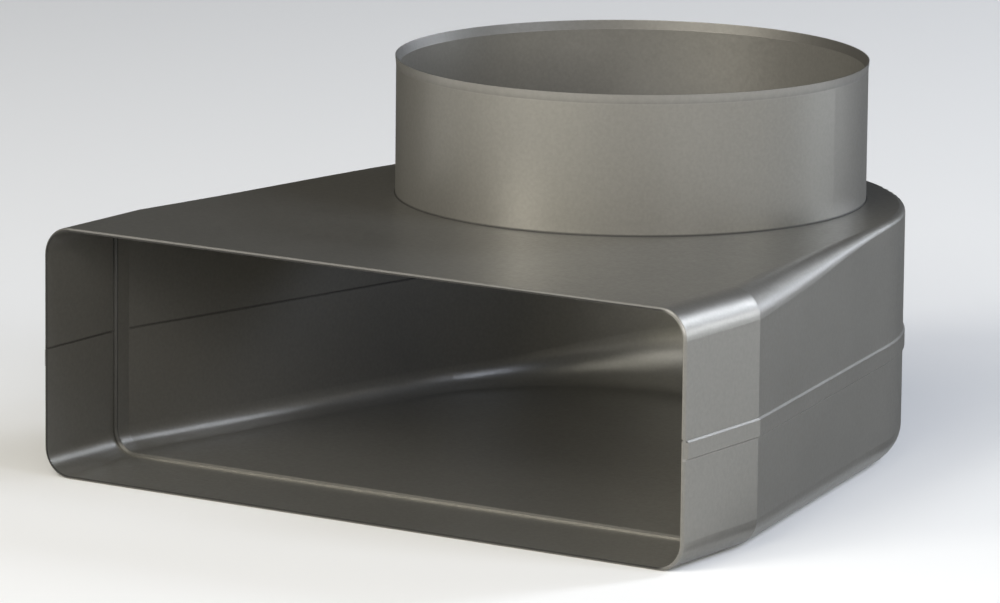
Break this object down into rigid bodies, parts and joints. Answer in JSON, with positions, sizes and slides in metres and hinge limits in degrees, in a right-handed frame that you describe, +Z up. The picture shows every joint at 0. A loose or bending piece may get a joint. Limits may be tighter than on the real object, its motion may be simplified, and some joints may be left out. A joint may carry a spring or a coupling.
{
  "type": "duct transition elbow",
  "caption": "Moulded elbow that turns air from a wide flat duct socket up into a round duct spigot.",
  "frame": {"origin": "on the flat underside, straight below the centre of the round spigot", "axes": "+Z up along the spigot's axis, -Y out of the flat socket, +X to the right seen from the socket"},
  "size_m": [0.2356, 0.2369, 0.1238],
  "materials": {
    "graphite_plastic": "dark graphite grey moulded plastic, satin, very fine even grain"
  },
  "bodies": {
    "root": {"upper_shell": "graphite_plastic", "lower_shell": "graphite_plastic"}
  },
  "joints": []
}
